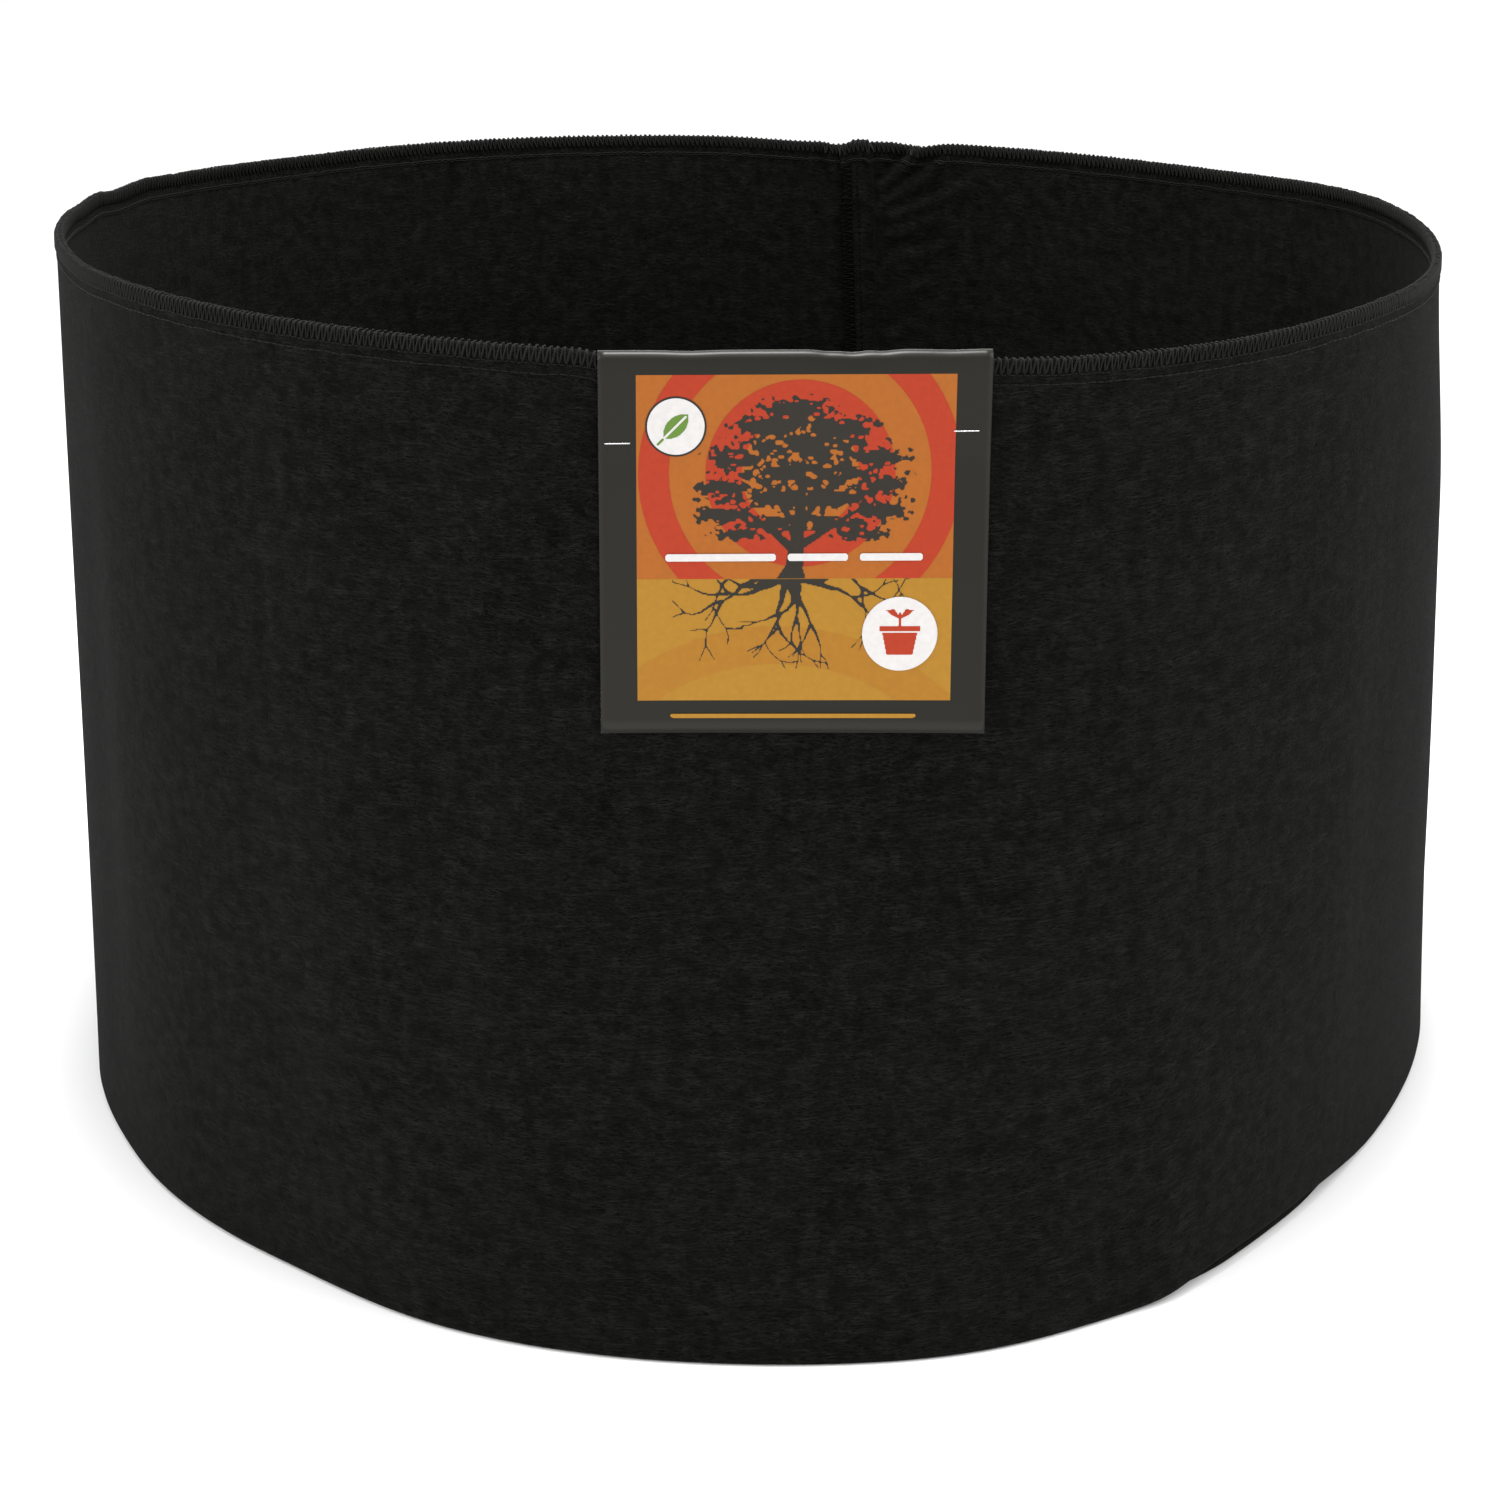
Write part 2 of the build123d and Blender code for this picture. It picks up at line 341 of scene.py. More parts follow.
# %% [markdown]
# ## The form of the bag
#
# The bag's form is one surface, and everything else is placed on it: the felt, the stitches and the
# label. It could be sculpted, but then the stitches could not be laid exactly on it. So it is
# written as a function instead. The function takes a direction round the axis and a height up the
# wall, and answers with a point.
#
# It starts from two outlines. At the rim the bag is nearly round, with a straight stretch in front
# where the card holds it flat. At the foot it is wider and less regular, because nothing holds it.
# Between the two the felt hangs almost straight, and near the card it stays upright for longer.

# %% Helpers for the form
def ease(low, high, value):
    """0 below low, 1 above high, and an S-curve between."""
    share = np.clip((value - low) / (high - low), 0, 1)
    return share * share * (3 - 2 * share)


def bell(value, centre, width):
    """1 at the centre, falling away on both sides."""
    return np.exp(-0.5 * ((value - centre) / width) ** 2)


def turn_from(angle, centre):
    """How far an angle is from the centre, in degrees, from -180 to 180."""
    return np.degrees((angle - math.radians(centre) + math.pi) % (2 * math.pi) - math.pi)


def bulge(angle, centre, width):
    """1 in one direction from the axis, falling away on both sides; all in degrees but angle."""
    return bell(turn_from(angle, centre), 0, width)


# %% [markdown]
# The directions are the usual ones: 0 degrees is the right side, -90 the front and 90 the back. The
# side seam is a little right of the back. Near it the rim humps over the four plies of the seam,
# and dips beside it, where the stitching has drawn the felt in.

# %% The rim's outline
header_low, header_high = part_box("label_header")
wall_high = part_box("wall_panel")[1]
FELT = 2.5 * MM  # thickness
SEAM_DEGREES = 75.0
SEAM = math.radians(SEAM_DEGREES)
label_plane = -(header_low.y + header_high.y) / 2  # from the axis to the middle of the felt
wall_height = wall_high.z - FELT / 2  # from the middle of the felt at the foot to the cut edge
RIM_RADIUS = wall_high.x - FELT / 2 - 0.75 * MM
CORNER = 2 * MM  # softness of the corners where the straight stretch ends
CROOKED = math.tan(math.radians(0.4))  # the card was stapled on with its right side a little low


def beside_seam(angle):
    """Metres along the rim from the side seam; positive on its left, seen from the front."""
    return np.radians(turn_from(angle, SEAM_DEGREES)) * RIM_RADIUS


def rim_radius(angle):
    round_rim = RIM_RADIUS + 2.5 * MM * bulge(angle, -62, 12) - 3.3 * MM * bulge(angle, -172, 18)
    to_plane = label_plane / np.maximum(-np.sin(angle), 0.05)
    return (round_rim + to_plane - np.sqrt((round_rim - to_plane) ** 2 + CORNER**2)) / 2


RIM_SAGS = (  # centre, width, and millimetres up
    (90, 45, -0.9),
    (138, 12, -1.7),
    (80, 5, -2.2),
    (14, 12, 4.0),
    (-40, 8, 1.2),
    (-62, 13, -2.2),
    (-80, 13, -1.5),
    (-157, 5, -1.0),
)
RIM_RIPPLES = ((158, 0.7), (164, -0.8), (169, 0.8), (174, -0.5))  # centre, and millimetres up


def rim_rise(angle):
    """How far the cut edge stands above its mean height."""
    rise = -5.4 * MM * np.cos(angle + CAMERA_TURN) - 1.5 * MM * np.sin(angle)
    for centre, width, height in RIM_SAGS:
        rise = rise + height * MM * bulge(angle, centre, width)
    for centre, height in RIM_RIPPLES:
        rise = rise + height * MM * bulge(angle, centre, 1.6)
    beside = beside_seam(angle)
    rise = rise + 1.3 * MM * ease(-3 * MM, 0, beside) * ease(11 * MM, 6 * MM, beside)
    rise = rise - 1.2 * MM * bell(beside, 15 * MM, 4 * MM)
    rise = rise - 2.3 * MM * bell(beside, -29 * MM, 8 * MM)
    from_front = turn_from(angle, -90)  # under the card the fold presses it down
    under_card = ease(-15, -12.8, from_front) * ease(15, 12.8, from_front)
    pressed = np.minimum(rise, -0.1 * MM - CROOKED * label_plane * np.cos(angle))
    return rise + (pressed - rise) * under_card


# %% [markdown]
# The foot is drawn the same way. Waves that run two and three times round the circle make it
# lopsided at the front, and short bulges put in its corners. On the right of the front the seam
# between wall and base doesn't touch the floor: the base was sewn in a little tight there.

# %% The foot's outline
FOOT_RADIUS = 314.3 * MM
FOOT_SHIFT = (13.8 * MM, 0.4 * MM)  # the bag leans, so the foot isn't straight under the rim
FOOT_WAVES = ((2, 2.8, 15.2), (3, -6.6, 12.4))  # waves round the circle, cosine and sine in mm
FOOT_LIFT = 5.5 * MM  # of the seam, on the right of the front
FOOT_CORNERS = (  # centre, width, and millimetres out
    (-90, 40, 2.2),
    (-149, 6, 1.4),
    (-131, 5, -1.6),
    (-118, 5, 1.2),
    (-97, 8, -2.4),
    (-77, 6, 2.2),
    (-63, 5, 3.1),
    (-64, 1.8, 1.5),
    (-56, 6, 0.9),
    (9, 8, -1.6),
)


def foot_radius(angle):
    turned = angle + CAMERA_TURN
    wave = 0.0
    for count, cosine, sine in FOOT_WAVES:
        wave = wave + cosine * MM * np.cos(count * turned) + sine * MM * np.sin(count * turned)
    radius = FOOT_RADIUS + wave * ease(0.6, 0.0, np.sin(angle))
    for centre, width, out in FOOT_CORNERS:
        radius = radius + out * MM * bulge(angle, centre, width)
    return radius


def foot_lift(angle):
    """Height of the seam above the floor."""
    degrees = turn_from(angle, 0)
    return FOOT_LIFT * ease(-69, -56, degrees) * ease(-28, -46, degrees)


# %% [markdown]
# Between rim and foot come the small things: slow waves in the felt, two soft upright folds on the
# left of the front, and puckers that fan out from the top of the side seam. A pucker is a furrow
# with a ridge beside it, along a short line on the felt.

# %% Waves, folds and puckers
PUCKERS = (  # ends beside the seam and below the rim, and depth, in millimetres
    ((-30, -2), (-7, 24), 2.2),
    ((-42, 6), (-8, 31), 1.6),
    ((-54, 20), (-10, 39), 1.4),
    ((-36, 36), (-8, 49), 1.4),
    ((-44, 50), (-9, 62), 1.2),
    ((-34, 72), (-8, 84), 1.0),
    ((-26, 95), (-7, 106), 0.7),
    ((23, 2), (15, 32), 1.6),
    ((31, 30), (17, 54), 0.8),
)
PUCKER_WIDTH = 3.2 * MM
wave_phase = np.random.default_rng(7).uniform(0, 2 * math.pi, 6)
WAVES = ((4, 0.7), (7, 0.8), (11, 0.55), (17, 0.35), (26, 0.2), (41, 0.1))  # count, millimetres
UPRIGHT_FOLDS = ((-123, 3.0, 1.3), (-116, 2.2, -1.0), (-110, 3.0, 0.8))  # centre, width, mm out


def pucker(beside, below, start, end, depth):
    start, end = np.array(start) * MM, np.array(end) * MM
    line = end - start
    length = np.linalg.norm(line)
    along = ((beside - start[0]) * line[0] + (below - start[1]) * line[1]) / length**2
    across = ((beside - start[0]) * line[1] - (below - start[1]) * line[0]) / length
    share = across / PUCKER_WIDTH
    fade = ease(-0.15, 0.15, along) * ease(1.15, 0.8, along)
    return depth * MM * fade * share * np.exp(0.5 - share**2)


def relief(angle, up):
    """How far the felt stands out from the plain form."""
    share = up / wall_height
    hold = 1 - 0.85 * bulge(angle, -90, 16) * ease(0.5, 0.7, share)  # the card keeps it flat
    middle = np.sin(math.pi * np.clip(share, 0, 1)) + 0.15
    out = 0.0
    for (count, size), phase in zip(WAVES, wave_phase):
        slant = 0.8 * math.sin(phase)
        out = out + size * MM * np.sin(count * angle + phase + slant * share) * middle
    tall = ease(0.1, 0.35, share) * ease(1.0, 0.8, share)
    for centre, width, size in UPRIGHT_FOLDS:
        out = out + size * MM * bulge(angle, centre, width) * tall
    out = out + 1.5 * MM * bulge(angle, -12, 20) * bell(share, 0.35, 0.2)
    out = out - 4.5 * MM * bulge(angle, -18, 12) * ease(0.72, 1.0, share)
    out = out * hold
    beside, below = beside_seam(angle), wall_height - up
    for start, end, depth in PUCKERS:
        out = out + pucker(beside, below, start, end, depth)
    return out


# %% [markdown]
# Now the surface itself. `bag_point` also goes inwards from it by any depth, along the felt's own
# normal, which is how turned-in plies and threads find their place. The normal comes from two
# short steps on the surface, one round it and one up it.

# %% The bag's surface
def bag_surface(angle, up):
    """Points in the middle of the felt, at heights measured up the wall from the foot."""
    share = up / wall_height
    flare = 1.0 + 0.8 * bulge(angle, -90, 20)
    spread = np.maximum(1 - share, 0) ** flare
    top, foot = rim_radius(angle), foot_radius(angle)
    radius = top + (foot - top) * spread + relief(angle, up)
    low = FELT / 2 + foot_lift(angle)
    high = FELT / 2 + wall_height + rim_rise(angle)
    x = radius * np.cos(angle) + FOOT_SHIFT[0] * spread
    y = radius * np.sin(angle) + FOOT_SHIFT[1] * spread
    return np.stack([x, y, low + (high - low) * share], axis=-1)


def bag_point(angle, up, depth=0.0):
    """Points at that depth inside the middle of the felt."""
    angle, up, depth = np.broadcast_arrays(angle, up, depth)
    round_it = bag_surface(angle + 0.002, up) - bag_surface(angle - 0.002, up)
    up_it = bag_surface(angle, up + 0.5 * MM) - bag_surface(angle, up - 0.5 * MM)
    inward = np.cross(up_it, round_it)
    inward /= np.linalg.norm(inward, axis=-1, keepdims=True)
    return bag_surface(angle, up) + inward * depth[..., None]


samples = bag_surface(np.radians(np.arange(-180, 180)), np.zeros(360))
print("foot spans", np.round(np.ptp(samples, axis=0)[:2] / MM), "mm")

# %% [markdown]
# ## Folds
#
# Where felt is turned in, its section is a path of straights and arcs. A path is easy to walk:
# keep a heading, turn it steadily through each arc, and add up the steps. The result is a table
# from the length along the cloth to a place in the section, and the flat cut is then bent by
# looking its points up in that table.

# %% Sections of the folds
SEAM_ALLOWANCE = 13 * MM
PLY_GAP = 0.2 * MM
HEM_TURN = (FELT + 1.1 * MM) / 2  # radius of the felt's middle where it turns back on itself
SECOND_PLY = FELT + PLY_GAP  # from the middle of one ply to the next
NOSE = HEM_TURN + SECOND_PLY  # radius of a ply that goes round outside a folded one
LIP_TURN = 2.4 * MM  # radius of the base's middle where its edge is turned up
STEP = 0.1 * MM


def walk(*pieces):
    """Length, forward and sideways along a path of (length, turn in degrees) pieces."""
    places, heading = [np.zeros(2)], 0.0
    lengths = [0.0]
    for length, turn in pieces:
        count = max(2, round(length / STEP)) if turn else 1
        for _ in range(count):
            heading += math.radians(turn) / count / 2
            step = np.array([math.cos(heading), math.sin(heading)]) * length / count
            heading += math.radians(turn) / count / 2
            places.append(places[-1] + step)
            lengths.append(lengths[-1] + length / count)
    return np.array(lengths), *np.array(places).T


def along_path(path, lengths):
    return np.interp(lengths, path[0], path[1]), np.interp(lengths, path[0], path[2])


in_seam = SEAM_ALLOWANCE - HEM_TURN  # straight part of a turned-in ply
above_foot = SEAM_ALLOWANCE - FELT / 2  # height of its free edge over the middle of the felt
left_end = walk((in_seam, 0), (math.pi * HEM_TURN, 180), (2, 0))
right_end = walk((in_seam, 0), (NOSE * math.pi / 2, 90), (HEM_TURN * math.pi / 2, -90), (2, 0))
hem = walk((above_foot - HEM_TURN, 0), (math.pi * HEM_TURN, 180), (1, 0))
lip = walk((above_foot - LIP_TURN, 0), (LIP_TURN * math.pi / 2, 90), (1, 0))
print("the hem lies", round(hem[2].max() / MM, 1), "mm inside the wall")

# %% [markdown]
# ## Sheets
#
# Every sheet here starts as a flat grid with one column for each place across the cut and one row
# for each place along it. They are close together where the cloth folds or puckers and far apart
# where it is plain. The grid is then bent, and the flat places are kept as the UV map, so that the
# felt's pattern knows nothing of the bending.

# %% Sheet helpers
def spaced(*runs):
    """Places along a cut: each run is (from, to, spacing)."""
    parts = [np.linspace(a, b, max(1, round((b - a) / gap)) + 1)[:-1] for a, b, gap in runs]
    return np.concatenate([*parts, [runs[-1][1]]])


def cut_sheet(name, across, along, bend, flat=None, drop=None, closed=False):
    """A flat cut with columns and rows at those places, bent into shape by a function."""
    bm = bmesh.new()
    columns, rows = len(across) - 1, len(along) - 1
    bmesh.ops.create_grid(bm, x_segments=columns, y_segments=rows, size=0.5)
    grid = np.array([vert.co[:2] for vert in bm.verts]) + 0.5
    a = across[np.rint(grid[:, 0] * columns).astype(int)]
    b = along[np.rint(grid[:, 1] * rows).astype(int)]
    for vert, point in zip(bm.verts, bend(a, b)):
        vert.co = point
    if flat is None:
        places = np.stack([(a - across[0]) / np.ptp(across), (b - along[0]) / np.ptp(along)], -1)
    else:
        places = flat(a, b)
    uv = bm.loops.layers.uv.new("flat_cut")
    for face in bm.faces:
        for loop in face.loops:
            loop[uv].uv = places[loop.vert.index]
        face.smooth = True
    if drop is not None:
        unwanted = drop(a, b)
        doomed = [face for face in bm.faces if all(unwanted[v.index] for v in face.verts)]
        bmesh.ops.delete(bm, geom=doomed, context="FACES")
    if closed:
        bmesh.ops.remove_doubles(bm, verts=bm.verts, dist=0.01 * MM)
    return place_mesh(name, bm)


def thicken(piece, thickness):
    """Gives a sheet its thickness, half on each side."""
    solid = piece.modifiers.new("thickness", "SOLIDIFY")
    solid.thickness = thickness
    solid.offset = 0
    return piece


def wears(piece, material):
    piece.data.materials.append(material)
    return piece


# %% [markdown]
# ## The wall
#
# The wall is one strip, nearly two metres long. Its lower edge is turned up inside as a hem. Its
# left end is folded back on itself to the left of the seam, and its right end steps inwards and
# lies over it, so the outside shows a groove there. Above the base seam the plies are free. In the
# base seam they are pressed flat, and the two ends meet edge to edge.

# %% Wall
HOLD_DOWN = 21 * MM  # height below which the side seam's plies are trimmed away
left_length = in_seam + math.pi * HEM_TURN
right_length = in_seam + (NOSE + HEM_TURN) * math.pi / 2
# the wall starts a turn's radius left of the seam, and ends beside the ply that goes round it
wall_round = 2 * math.pi * RIM_RADIUS - HEM_TURN - NOSE
strip_length = left_length + wall_round + right_length
strip_height = above_foot - HEM_TURN + math.pi * HEM_TURN + wall_height - HEM_TURN


def strip_place(across, along):
    """Metres left of the seam, height, and depth inside the wall, for places in the flat strip."""
    forward, sideways = along_path(hem, along)
    up, hem_depth = above_foot - forward, 2 * HEM_TURN - sideways
    left = across < strip_length / 2
    from_end = np.where(left, across, strip_length - across)
    left_forward, left_side = along_path(left_end, from_end)
    right_forward, right_side = along_path(right_end, from_end)
    round_it = SEAM_ALLOWANCE - np.where(left, left_forward, right_forward)
    depth = np.where(left, 2 * HEM_TURN - left_side, 2 * HEM_TURN + SECOND_PLY - right_side)
    free = ease(HOLD_DOWN - 7 * MM, HOLD_DOWN, up) * (hem_depth < 0.01 * MM)
    turned = np.where(left, left_length, right_length) - in_seam
    pressed = np.clip((from_end - in_seam) / turned, 0, 1) * np.where(left, HEM_TURN, -NOSE)
    bent = (from_end > in_seam) & (from_end < in_seam + turned)
    pressed = np.where(bent, pressed, round_it)
    round_it = pressed + (round_it - pressed) * free
    return round_it, up, hem_depth + depth * free


def bend_wall(across, along):
    round_it, up, depth = strip_place(across, along)
    return bag_point(SEAM + round_it / RIM_RADIUS, up, depth)


def trimmed_plies(across, along):
    """True where the side seam's plies would be under the base seam."""
    up = strip_place(across, along)[1]
    in_ply = (across < in_seam + 0.01 * MM) | (across > strip_length - in_seam - 0.01 * MM)
    low = (up < HOLD_DOWN) | (along < above_foot)
    return in_ply & low


hem_end = above_foot - HEM_TURN
fold_end = hem_end + math.pi * HEM_TURN
columns = spaced(
    (0, in_seam, 2.4 * MM),
    (in_seam, left_length, 0.8 * MM),
    (left_length, left_length + 70 * MM, 1.7 * MM),
    (left_length + 70 * MM, strip_length - right_length - 75 * MM, 3.4 * MM),
    (strip_length - right_length - 75 * MM, strip_length - right_length, 1.7 * MM),
    (strip_length - right_length, strip_length - in_seam, 0.9 * MM),
    (strip_length - in_seam, strip_length, 2.4 * MM),
)
rows = spaced(
    (0, hem_end, 2.5 * MM),
    (hem_end, fold_end, 0.8 * MM),
    (fold_end, fold_end + 17 * MM, 2.8 * MM),
    (fold_end + 17 * MM, strip_height - 120 * MM, 7 * MM),
    (strip_height - 120 * MM, strip_height, 3 * MM),
)
wall = cut_sheet("felt_wall", columns, rows, bend_wall, drop=trimmed_plies)
thicken(wall, FELT)
wears(wall, felt_finish("black_felt", (strip_length, strip_height), FELT_DEEP, FELT_LIGHT))
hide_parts("wall_panel")
print("the strip is", round(strip_length / MM), "by", round(strip_height / MM), "mm")
print(len(wall.data.polygons), "faces in the wall")

# %% [markdown]
# ## The base
#
# The base is a round of the same felt whose edge is turned up all the way round. The lip stands
# inside the wall's hem. Here the flat places are round, so the columns are directions and the rows
# run from the lip's edge to the middle, where all of them meet in one point. Where the seam is off
# the floor the base still rests on it, and swells out a little under the wall.

# %% Base
LIP_DEPTH = 2 * HEM_TURN + SECOND_PLY  # from the wall's middle to the lip's
SAG = 0.9  # how far the base hangs below a lifted seam, as a share of the lift
SWELL = 0.8 * LIP_DEPTH  # how far it swells outwards there
floor_reach = RIM_RADIUS - LIP_DEPTH - LIP_TURN + 9 * MM  # from the turned edge to the middle
base_reach = above_foot - LIP_TURN + LIP_TURN * math.pi / 2 + floor_reach
base_centre = bag_surface(np.radians(np.arange(0, 360, 5)), np.zeros(72)).mean(axis=0)


def bend_base(angle, along):
    forward, inward = along_path(lip, along)
    up = above_foot - forward
    swell = SWELL * foot_lift(angle) / FOOT_LIFT * ease(4 * MM, 0, up)
    edge = bag_point(angle, up, LIP_DEPTH - swell)
    fall = SAG * ease(above_foot, 0, up) + (1 - SAG) * ease(0, 30 * MM, inward)
    edge[:, 2] = np.maximum(edge[:, 2] - foot_lift(angle) * fall, FELT / 2)
    share = np.clip(inward / (floor_reach + LIP_TURN), 0, 1)
    edge[:, :2] += (base_centre[:2] - edge[:, :2]) * share[:, None]
    ripple = 1.6 * MM * ease(0.05, 0.2, share) * ease(1, 0.8, share)
    edge[:, 2] += ripple * (0.5 + 0.5 * np.sin(5 * angle + 9 * share)) * ease(0.1, 0.3, share)
    return edge


def base_flat(angle, along):
    out = (base_reach - along) / base_reach / 2
    return np.stack([0.5 + out * np.cos(angle), 0.5 + out * np.sin(angle)], -1)


turn_start = above_foot - LIP_TURN
base = cut_sheet(
    "felt_base",
    np.radians(np.linspace(-180, 180, 421)),
    spaced(
        (0, turn_start, 3 * MM),
        (turn_start, turn_start + LIP_TURN * math.pi / 2, 0.95 * MM),
        (turn_start + LIP_TURN * math.pi / 2, turn_start + 40 * MM, 5 * MM),
        (turn_start + 40 * MM, base_reach, 12 * MM),
    ),
    bend_base,
    flat=base_flat,
    closed=True,
)
thicken(base, FELT)
base_size = (2 * base_reach, 2 * base_reach)
wears(base, felt_finish("black_felt_base", base_size, FELT_DEEP, FELT_LIGHT))
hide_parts("base_panel")
print("the base is a round of", round(2 * base_reach / MM), "mm")

# %% [markdown]
# ## Stitches
#
# All three seams are sewn on the same machine, which makes a five-thread safety stitch. Three
# threads wrap the raw edge: two loopers lie in slanted loops on the two faces and hook into each
# other over the edge, and a needle thread holds them down. Two more threads run beside them in a
# chain stitch: short dashes on one face, and a chain of links on the other.
#
# A seam has hundreds of stitches, so each one must be light. One stitch of each thread is drawn
# flat, along a straight edge: a strand is a row of little rings that are bridged. Copies are then
# spun off along the edge, with no turn and one step of a pitch, and their ends are merged. Last,
# the whole row is laid on the bag with the same function as the felt.

# %% Stitch helpers
LOOP_PITCH, CHAIN_PITCH = 2.6, 3.6  # millimetres
BITE, CHAIN_LINE = 5.0, 9.0  # from the raw edge
LOOPER, NEEDLE, CHAIN = 0.42, 0.24, 0.26  # radii of the yarns, in millimetres


def strand(bm, points, radius):
    """A tube of four sides through the points, in millimetres. Its ends face along X."""
    rings = []
    for number, point in enumerate(points):
        ahead = Vector((1, 0, 0))
        if 0 < number < len(points) - 1:
            ahead = Vector(points[number + 1]) - Vector(points[number - 1])
        turned = ahead.to_track_quat("Z", "Y").to_matrix().to_4x4()
        ring = bmesh.ops.create_circle(
            bm, segments=4, radius=radius, matrix=Matrix.Translation(point) @ turned
        )
        rings.append({edge for vert in ring["verts"] for edge in vert.link_edges})
    for first, second in zip(rings, rings[1:]):
        bmesh.ops.bridge_loops(bm, edges=list(first | second))


def looper(side, half):
    """One loop on a face: up to the raw edge, over it to the middle, and back down."""
    face = side * (half + LOOPER)
    rise = [(0, -BITE, face), (0.4, -4.3, face), (1.6, -0.5, face), (1.8, 0.35, face * 0.75)]
    fall = [(2.1, 0.35, face * 0.75), (2.2, -0.5, face), (2.4, -4.3, face), (2.6, -BITE, face)]
    return [(*rise, (1.95, 0.45, side * 0.2), *fall)], LOOPER, LOOP_PITCH


def dashes(side, half, line, pitch, radius):
    """One straight stitch that dips into the felt at both ends."""
    low, high = side * (half - 0.6), side * (half + 0.4 * radius)
    run = [(0, -line, low), (0.4, -line, high), (pitch / 2, -line, high * 1.04)]
    return [(*run, (pitch - 0.4, -line, high), (pitch, -line, low))], radius, pitch


def links(side, half):
    """One link of a chain, of two strands."""
    face = side * (half + 0.5 * CHAIN)
    strands = []
    for out in (-1, 1):
        sway = ((0, 0.15), (0.7, 0.5), (1.8, 0.62), (2.9, 0.5), (3.6, 0.15))
        strands.append([(x, out * y - CHAIN_LINE, face * (1 + 0.05 * out)) for x, y in sway])
    return strands, CHAIN, CHAIN_PITCH


def sew(name, stitch, length, lay, seed):
    """A row of stitches along a seam. lay puts (along, from the raw edge, depth) on the bag."""
    strands, radius, pitch = stitch
    bm = bmesh.new()
    for points in strands:
        strand(bm, points, radius)
    count = round(length / (pitch * MM))
    geometry = bm.verts[:] + bm.edges[:] + bm.faces[:]
    step = Vector((pitch, 0, 0))
    bmesh.ops.spin(
        bm, geom=geometry, angle=0, steps=count - 1, axis=(0, 0, 1), cent=(0, 0, 0), dvec=step,
        use_duplicate=True,
    )
    places = np.array([vert.co for vert in bm.verts]) * MM
    places[:, 0] *= length / (count * pitch * MM)
    rng = np.random.default_rng(seed)
    knots = np.linspace(0, length, count + 1)
    for axis, size in ((0, 0.16), (1, 0.14), (2, 0.05)):  # no two stitches are quite alike
        uneven = rng.normal(0, size * MM, count + 1)
        uneven[-1] = uneven[0]
        places[:, axis] += np.interp(places[:, 0], knots, uneven)
    for vert, point in zip(bm.verts, lay(*places.T)):
        vert.co = point
    bmesh.ops.remove_doubles(bm, verts=bm.verts, dist=0.03 * MM)
    bmesh.ops.recalc_face_normals(bm, faces=bm.faces)
    for face in bm.faces:
        face.smooth = True
    return wears(place_mesh(name, bm), thread_finish), count


def sew_seam(seam, side, half, length, lay, seed):
    """The five threads of one seam; side is the face that the upper looper is on."""
    stitches = {
        "overlock_upper_looper": looper(side, half),
        "overlock_lower_looper": looper(-side, half),
        "overlock_needle_thread": dashes(side, half, BITE + 0.45, LOOP_PITCH, NEEDLE),
        "chain_needle_thread": dashes(side, half, CHAIN_LINE, CHAIN_PITCH, CHAIN),
        "chain_looper_thread": links(-side, half),
    }
    threads = []
    for number, (kind, stitch) in enumerate(stitches.items()):
        thread, count = sew(f"stitched_{seam}_{kind}", stitch, length, lay, seed + number)
        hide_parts(f"{seam}_{kind}")
        threads.append(thread)
        print(seam, kind.replace("_", " "), "has", count, "stitches")
    return threads


# %% [markdown]
# ## The three seams
#
# The rim's upper looper is on the outside. The side and base seams are sewn from the inside, so
# theirs is there. Where the rim crosses the side seam it wraps three plies instead of one.

# %% Sew the rim, the side and the base
ROUND = 2 * math.pi * RIM_RADIUS
ply_middle = HEM_TURN + LIP_DEPTH / 2  # depth midway between two turned-in plies
two_plies = FELT + PLY_GAP / 2


def lay_on_rim(along, from_edge, depth):
    beside = beside_seam(SEAM + along / RIM_RADIUS)
    plies = ease(-5.5 * MM, -3 * MM, beside) * ease(14.5 * MM, 13.2 * MM, beside)
    depth = depth + LIP_DEPTH * plies * np.clip((depth + FELT / 2) / FELT, 0, 1)
    return bag_point(SEAM + along / RIM_RADIUS, wall_height + from_edge, depth)


def lay_on_base_seam(along, from_edge, depth):
    return bag_point(SEAM + along / RIM_RADIUS, above_foot + from_edge, ply_middle + depth)


def lay_on_side_seam(along, from_edge, depth):
    round_it = (SEAM_ALLOWANCE + from_edge) / RIM_RADIUS
    return bag_point(SEAM + round_it, HOLD_DOWN + along, ply_middle + depth)


side_length = wall_height - CHAIN_LINE * MM - 2 * MM - HOLD_DOWN
rim_threads = sew_seam("rim", -1, FELT / 2 / MM, ROUND, lay_on_rim, 10)
base_threads = sew_seam("base", 1, two_plies / MM, ROUND, lay_on_base_seam, 20)
side_threads = sew_seam("side", 1, two_plies / MM, side_length, lay_on_side_seam, 30)
# the side seam's threads take the darker copy of the thread: painted shade inside the bag
for thread in side_threads:
    thread.data.materials[0] = shaded_thread_finish

# %% [markdown]
# ## The card
#
# The label is one strip of coated card, folded in the middle over the rim. Its two halves are made
# apart, because each swings by itself when it is lifted. Like the felt, the card gets a function
# that places a point of the flat card in space, so that the print can be laid on it afterwards.
# Down to the staples it is held against the felt, and from there it leans out a little.

# %% The card's form
flap_low, flap_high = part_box("label_front_flap")
CARD = flap_high.y - flap_low.y
fold_radius = -(flap_low.y + flap_high.y) / 2 - label_plane  # middle of the card
half_width = flap_high.x
hinge = header_high.z - flap_high.z  # the line where a half starts to lift, below the fold
card_drop = header_high.z - flap_low.z
quarter = fold_radius * math.pi / 2
card_length = quarter + card_drop - CARD / 2 - fold_radius
